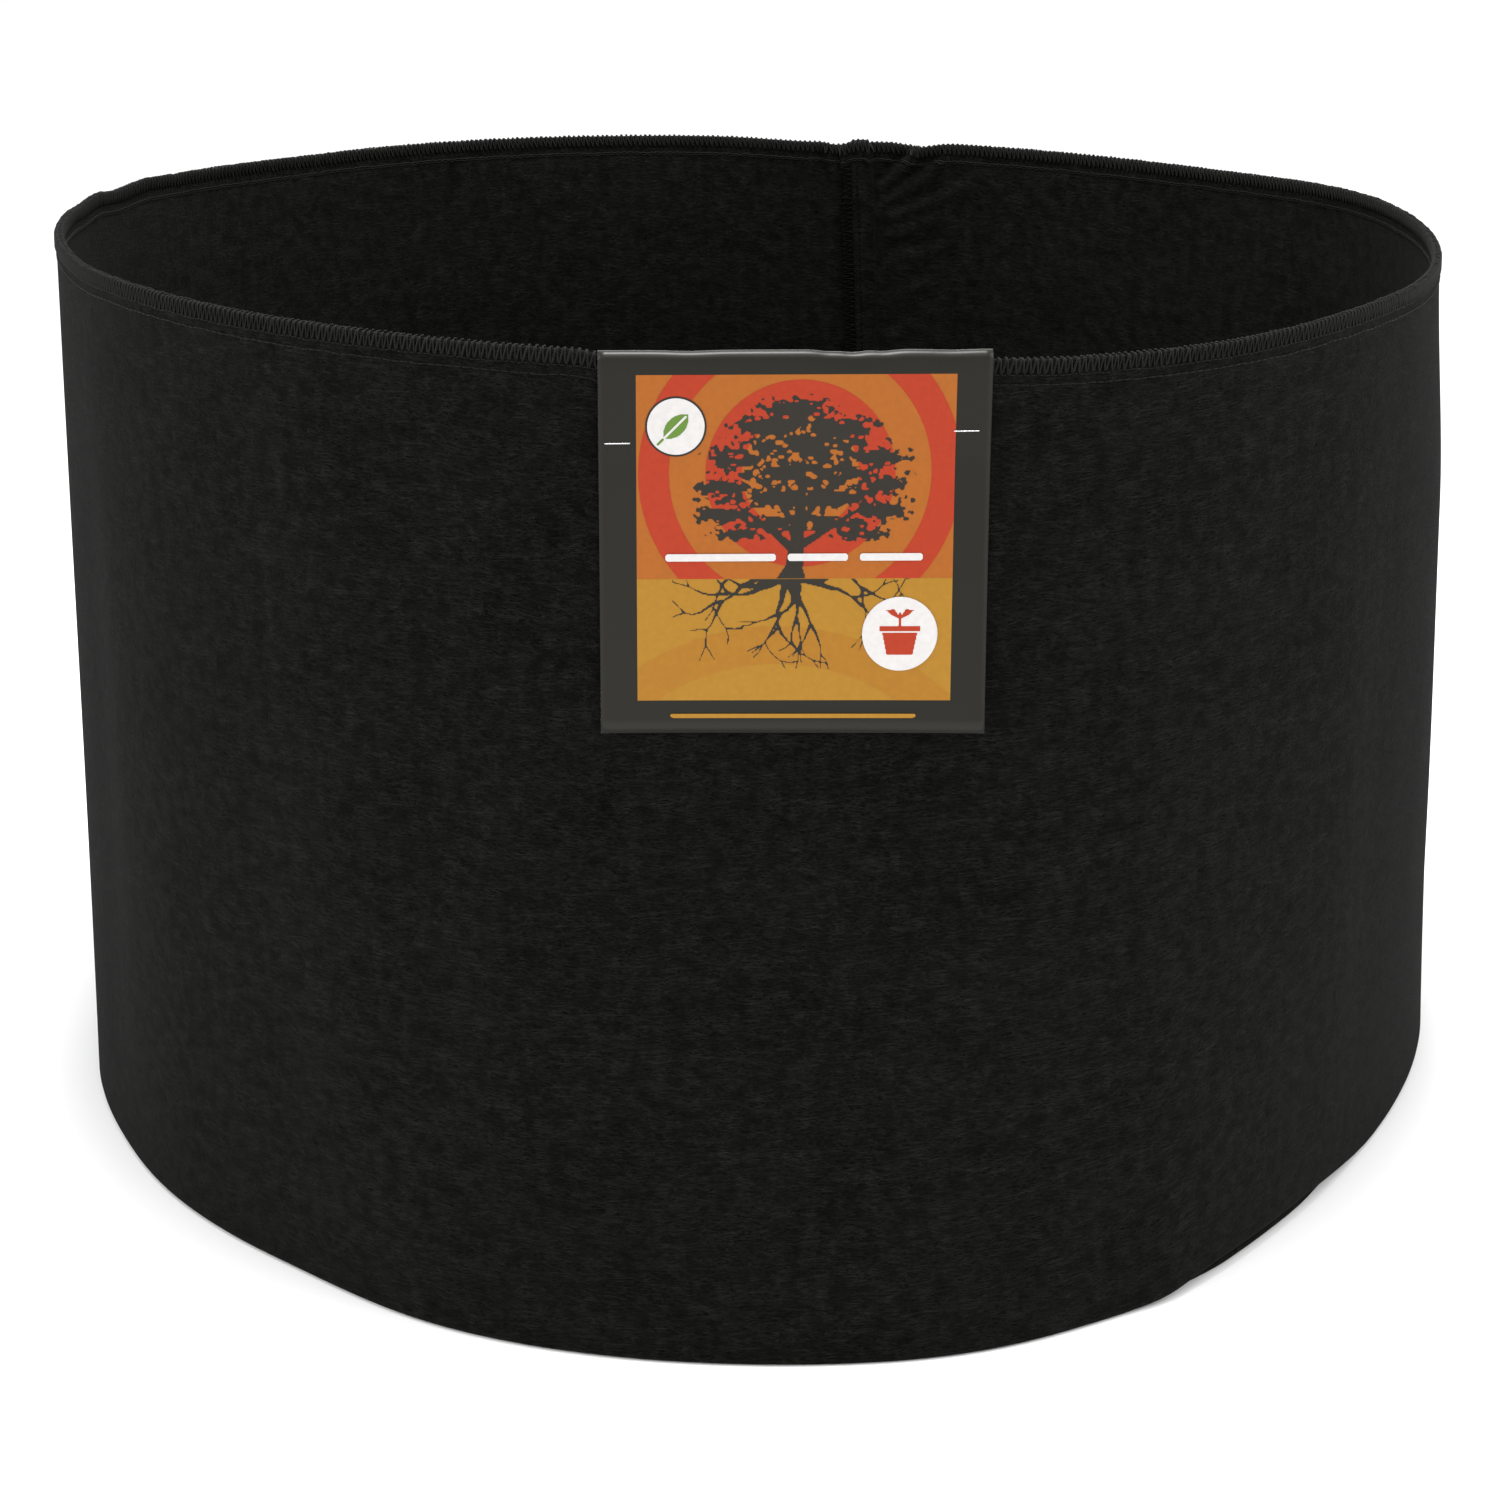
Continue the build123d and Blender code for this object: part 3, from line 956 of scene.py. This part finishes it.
# dents in the fold: place across the card, width and depth in millimetres
FOLD_DENTS = ((11, 2.5, 0.6), (20, 4, 1.1), (31, 3, 0.7), (-38, 6, 0.4), (55, 5, 0.3))
LEAN = {-1: 4.8, 1: 2.0}  # millimetres at the lower edge, for the front and back halves
TWIST = {-1: 2.5, 1: 0.5}  # and how much more that is at the right corner
SETTLED = 1.2 * MM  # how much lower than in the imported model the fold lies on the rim


def card_point(across, down, side, lift=0.0):
    """Points of the card: across it, and down from the fold; lift is towards its outer face."""
    across, down = np.asarray(across, float), np.asarray(down, float)
    turn = np.clip(down / fold_radius, 0, math.pi / 2)
    below = np.maximum(down - quarter, 0)
    radius = fold_radius + lift
    for centre, width, depth in FOLD_DENTS:
        dent = depth * MM * bell(across / MM, centre, width)
        radius = radius - dent * bell(down / MM, 1.0, 2.2)
    free = np.maximum(below - (hinge - fold_radius), 0) / (card_drop - hinge)
    out = (LEAN[side] + TWIST[side] * across / half_width) * MM * free**1.15
    out = out + 0.9 * MM * free**3 * (np.abs(across) / half_width) ** 4
    y = -label_plane + side * (radius * np.sin(turn) + out)
    z = header_high.z - SETTLED - CARD / 2 - fold_radius + radius * np.cos(turn) - below
    return np.stack([across - CROOKED * below, y, z - CROOKED * across], axis=-1)


# %% [markdown]
# Each half is a sheet, close-set with rows round the fold and where it bends. A solidify modifier
# gives it the card's thickness, and paints the cut edges with the white core.

# %% Two halves of card
down_rows = spaced(
    (0, quarter, 0.6 * MM),
    (quarter, 30 * MM, 4 * MM),
    (30 * MM, 50 * MM, 1.5 * MM),
    (50 * MM, card_length, 5 * MM),
)
across_columns = spaced((-half_width, half_width, 2.5 * MM))


def make_half(name, side):
    half = cut_sheet(
        name, across_columns, down_rows, lambda across, down: card_point(across, down, side)
    )
    if side > 0:  # the grid faces forwards, and the back half has to face the other way
        bm = bmesh.new()
        bm.from_mesh(half.data)
        bmesh.ops.reverse_faces(bm, faces=bm.faces)
        bm.to_mesh(half.data)
        bm.free()
    thicken(half, CARD)
    half.modifiers["thickness"].material_offset_rim = 1
    wears(half, card_finish)
    half.data.materials.append(card_core)
    return half


front_card = make_half("card_front_half", -1)
back_card = make_half("card_back_half", 1)
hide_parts("label_front_flap", "label_header")
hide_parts("label_rear_flap")
print("each half of the card is", round(card_length / MM, 1), "mm from fold to edge")

# %% [markdown]
# ## The print
#
# The picture is a plain one: a tree with its roots in the ground. Every colour is a layer of ink of
# its own, cut from flat shapes, and each lies a hair above the one before it. Shapes are drawn in
# millimetres from the card's upper left corner, because that is how a label is laid out. They are
# sliced both ways every few millimetres, and closer below the staples, so that they can bend with
# the card.

# %% Print helpers
INK_STEP = 0.03 * MM
PANEL = (13.4, 127.3, 8.2, 127.7)  # left, right, top and bottom of the printed field
GROUND = 82.4  # where the orange ends and the gold starts


def disc(bm, x, y, radius):
    at = Matrix.Translation((x, y, 0))
    bmesh.ops.create_circle(bm, cap_ends=True, segments=48, radius=radius, matrix=at)


def rectangle(bm, left, right, top, bottom, columns=1, rows=1):
    at = Matrix.Translation(((left + right) / 2, (top + bottom) / 2, 0))
    size = Matrix.Diagonal(((right - left) / 2, (bottom - top) / 2, 1, 1))
    bmesh.ops.create_grid(bm, x_segments=columns, y_segments=rows, size=1, matrix=at @ size)


def ring_band(bm, x, y, inner, outer):
    edges = []
    for radius in (inner, outer):
        at = Matrix.Translation((x, y, 0))
        circle = bmesh.ops.create_circle(bm, segments=72, radius=radius, matrix=at)
        edges += {edge for vert in circle["verts"] for edge in vert.link_edges}
    bmesh.ops.bridge_loops(bm, edges=edges)


def cut(bm, point, normal, clear=False):
    """A cut right through the flat shapes; clear takes away what is beyond it."""
    geometry = bm.verts[:] + bm.edges[:] + bm.faces[:]
    bmesh.ops.bisect_plane(bm, geom=geometry, plane_co=point, plane_no=normal, clear_outer=clear)


def clip(bm, left, right, top, bottom):
    """Keeps only what is inside a rectangle."""
    cut(bm, (left, 0, 0), (-1, 0, 0), True)
    cut(bm, (right, 0, 0), (1, 0, 0), True)
    cut(bm, (0, top, 0), (0, -1, 0), True)
    cut(bm, (0, bottom, 0), (0, 1, 0), True)


prints = []


def print_ink(name, ink, draw):
    """One layer of ink, drawn by a function that is given an empty bmesh."""
    bm = bmesh.new()
    draw(bm)
    for x in np.arange(18, 127, 6.0):
        cut(bm, (x, 0, 0), (1, 0, 0))
    for y in (*np.arange(10, 30, 4.0), *np.arange(30, 48, 1.0), *np.arange(48, 136, 5.0)):
        cut(bm, (0, y, 0), (0, 1, 0))
    flat = np.array([vert.co for vert in bm.verts]) * MM
    lift = CARD / 2 + INK_STEP * (len(prints) + 1)
    down = flat[:, 1] - (fold_radius + CARD / 2) + quarter
    for vert, point in zip(bm.verts, card_point(flat[:, 0] - half_width, down, -1, lift)):
        vert.co = point
    for face in bm.faces:
        face.normal_update()
        if face.normal.y > 0:
            face.normal_flip()
    prints.append(wears(place_mesh(name, bm), ink_finish[ink]))


def stencil(box, cell, inside):
    """A drawing function for an irregular shape: a fine grid that keeps only what is inside."""

    def draw(bm):
        left, right, top, bottom = box
        rectangle(bm, *box, round((right - left) / cell), round((bottom - top) / cell))
        middles = np.array([face.calc_center_median() for face in bm.faces])
        wanted = inside(middles[:, 0], middles[:, 1])
        doomed = [face for face, keep in zip(bm.faces[:], wanted) if not keep]
        bmesh.ops.delete(bm, geom=doomed, context="FACES")
        edge = [vert for vert in bm.verts if vert.is_boundary]
        for _ in range(2):  # takes the steps out of the outline
            bmesh.ops.smooth_vert(bm, verts=edge, factor=0.5, use_axis_x=True, use_axis_y=True)

    return draw


def limbs(x, y, paths):
    """True on tapering strokes: each path is a list of (x, y, width)."""
    hit = np.zeros(len(x), bool)
    for path in paths:
        for (x0, y0, w0), (x1, y1, w1) in zip(path, path[1:]):
            length2 = (x1 - x0) ** 2 + (y1 - y0) ** 2
            along = np.clip(((x - x0) * (x1 - x0) + (y - y0) * (y1 - y0)) / length2, 0, 1)
            away = np.hypot(x - x0 - along * (x1 - x0), y - y0 - along * (y1 - y0))
            hit |= away < np.maximum(w0 + (w1 - w0) * along, 0.55) / 2
    return hit


# %% [markdown]
# First come the fields, and two broad rings of evening light behind the tree, clipped to the panel.

# %% Fields and rings
SUN = (72.0, 44.0)


def draw_rings(bm):
    for inner, outer in ((21, 34), (47, 58)):
        ring_band(bm, *SUN, inner, outer)
    clip(bm, PANEL[0], PANEL[1], PANEL[2], GROUND)


def draw_furrow(bm):
    ring_band(bm, 64, 190, 76, 90)
    clip(bm, PANEL[0], PANEL[1], GROUND, PANEL[3])


print_ink("print_orange_field", "orange", lambda bm: rectangle(bm, *PANEL[:3], GROUND))
print_ink("print_gold_ground", "gold", lambda bm: rectangle(bm, *PANEL[:2], GROUND, PANEL[3]))
print_ink("print_red_rings", "red", draw_rings)
print_ink("print_furrow", "old_gold", draw_furrow)

# %% [markdown]
# The tree is drawn as in a woodcut: ragged tiers of leaves on a few limbs, and roots that fork and
# fork again. Its outline comes from arithmetic. Each tier is a flat oval whose edge is broken up by
# many small seeded dots, some of leaf and some of sky.

# %% Tree and roots
tree_rng = np.random.default_rng(23)
TIERS = (  # middle, half width and half height of each tier of leaves
    (70, 21, 13, 5), (61, 27, 16, 5), (84, 28, 15, 5), (73, 34, 27, 6), (98, 38, 13, 4.5),
    (50, 39, 13, 4.5), (76, 44, 31, 6), (44, 49, 12, 4), (103, 48, 9, 4), (74, 53, 35, 5),
    (44, 59, 12, 3.2), (102, 58, 11, 3.4), (72, 62, 27, 3.4), (50, 66, 10, 2.4), (94, 66, 10, 2.4),
)


def inside_tree(x, y):
    best = np.full(len(x), 9.0)
    for tier_x, tier_y, wide, high in TIERS:
        best = np.minimum(best, np.hypot((x - tier_x) / wide, (y - tier_y) / high))
    leaf = best < 0.86
    for number in range(1300):
        dot_x, dot_y = tree_rng.uniform(31, 113), tree_rng.uniform(14, 70)
        size = tree_rng.uniform(0.5, 1.25)
        near = np.hypot(x - dot_x, y - dot_y) < size
        on_edge = (best > 0.6) & (best < 1.25)
        leaf = np.where(near & on_edge, number % 2 == 0, leaf)
    for _ in range(70):  # small gaps of sky between the leaves
        dot_x, dot_y = tree_rng.uniform(40, 106), tree_rng.uniform(22, 66)
        leaf &= np.hypot((x - dot_x) / 1.8, y - dot_y) > tree_rng.uniform(0.4, 0.8)
    return leaf | limbs(x, y, BRANCHES)


BRANCHES = [
    [(69, 84, 12), (70, 78, 6.5), (71, 68, 5), (72, 56, 3.6), (73, 40, 2)],
    [(70, 72, 3.4), (61, 64, 2.4), (50, 56, 1)],
    [(71, 71, 3.4), (82, 64, 2.4), (95, 56, 1)],
    [(71, 64, 2.6), (64, 54, 2), (57, 42, 0.8)],
    [(72, 62, 2.6), (80, 52, 2), (88, 40, 0.8)],
]


def grow_root(paths, x, y, heading, width, length):
    """A root that wanders, thins out and forks."""
    path = [(x, y, width)]
    steps = max(2, round(length / 3))
    for step in range(steps):
        heading += tree_rng.normal(0, 0.22)
        x, y = x + 3 * math.cos(heading), y + 3 * math.sin(heading)
        path.append((x, y, width * (1 - 0.75 * (step + 1) / steps)))
    paths.append(path)
    if length > 7:
        for way in (-1, 1):
            turned = heading + way * tree_rng.uniform(0.25, 0.7)
            grow_root(paths, x, y, turned, width * 0.5, length * tree_rng.uniform(0.45, 0.7))


ROOTS = []
for root_heading in (172, 160, 142, 122, 100, 80, 60, 40, 22, 8):
    start_x = 69 + 3.5 * math.cos(math.radians(root_heading))
    reach = 23 - 7 * math.sin(math.radians(root_heading)) ** 2
    grow_root(ROOTS, start_x, 82.5, math.radians(root_heading), 3.0, reach)

print_ink("print_tree", "dark", stencil((32, 114, 12, GROUND), 0.5, inside_tree))
print_ink(
    "print_roots", "dark", stencil((26, 112, GROUND, 116), 0.45, lambda x, y: limbs(x, y, ROOTS))
)

# %% [markdown]
# The badges come last. On the real thing they carry marks and words. Here one is a plain leaf on a
# disc and the other is a pot, and where there is a line of writing there are plain bars.

# %% Badges and bars
BADGE = (27.5, 26.7)
POT_DISC = (108.5, 102.9)


def inside_leaf(x, y):
    x, y = x - BADGE[0], y - BADGE[1]
    vein = limbs(x, y, [[(-5.6, 5.6, 0.7), (3.5, -3.5, 0.5)]])
    blade = (np.hypot(x + 3, y + 3) < 7.6) & (np.hypot(x - 3, y - 3) < 7.6)
    return (blade & ~vein) | limbs(x, y, [[(-6.6, 6.6, 0.9), (-4.6, 4.6, 0.9)]])


def inside_pot(x, y):
    x, y = x - POT_DISC[0], y - POT_DISC[1]
    body = (y > -0.6) & (y < 8) & (np.abs(x) < 6.4 - 0.2 * y)
    lip = (y > -3) & (y < -0.9) & (np.abs(x) < 7.6)
    stem = [[(0, -3, 0.9), (0, -8, 0.7)]]
    stem += [[(0, -5.5, 0.5), (way * 2.6, -8, 2.4), (way * 5, -8.8, 0.4)] for way in (-1, 1)]
    return body | lip | limbs(x, y, stem)


def inside_headline(x, y):
    words = [[(a, 74.5, 3.4), (b, 74.5, 3.4)] for a, b in ((25, 62), (69, 88), (95, 115))]
    return limbs(x, y, words)


def inside_small_print(x, y):
    return limbs(x, y, [[(26, 133.4, 1.7), (114, 133.4, 1.7)]])


def around(middle, reach):
    return (middle[0] - reach, middle[0] + reach, middle[1] - reach, middle[1] + reach)


print_ink("print_badge_edge", "dark", lambda bm: disc(bm, *BADGE, 10.9))
print_ink("print_badge_disc", "white", lambda bm: disc(bm, *BADGE, 10.2))
print_ink("print_badge_leaf", "green", stencil(around(BADGE, 9), 0.3, inside_leaf))
print_ink("print_pot_disc", "white", lambda bm: disc(bm, *POT_DISC, 13.7))
print_ink("print_pot", "red", stencil(around(POT_DISC, 11), 0.35, inside_pot))
print_ink("print_headline", "white", stencil((22, 118, 71, 78), 0.5, inside_headline))
print_ink("print_small_print", "gold", stencil((24, 116, 132, 135), 0.3, inside_small_print))
print(len(prints), "layers of ink")

# %% [markdown]
# ## Staples
#
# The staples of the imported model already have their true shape, so they only need the wire's
# finish.

# %% Finish of the staples
for name in ("staple_left", "staple_right"):
    staple = bpy.data.objects[name]
    staple.data.materials.clear()
    staple.data.materials.append(steel_finish)

# %% [markdown]
# ## What moves with what
#
# When a half-full bag is folded down, its foot stays and its rim comes down. Here the base and its
# seam's threads are parented to one empty, and the rim's threads to another. The wall, the side
# seam's threads, the halves of the card and the print only have their placing baked into their
# meshes.

# %% Parents and baked placings
for piece in (wall, *side_threads):
    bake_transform(piece)
for piece in (base, *base_threads):
    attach(piece, "base")
for piece in rim_threads:
    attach(piece, "rim")
halves = (("rear_flap", 1, [back_card]), ("front_flap", -1, [front_card, *prints]))
for flap, side, pieces in halves:
    for piece in pieces:
        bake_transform(piece)
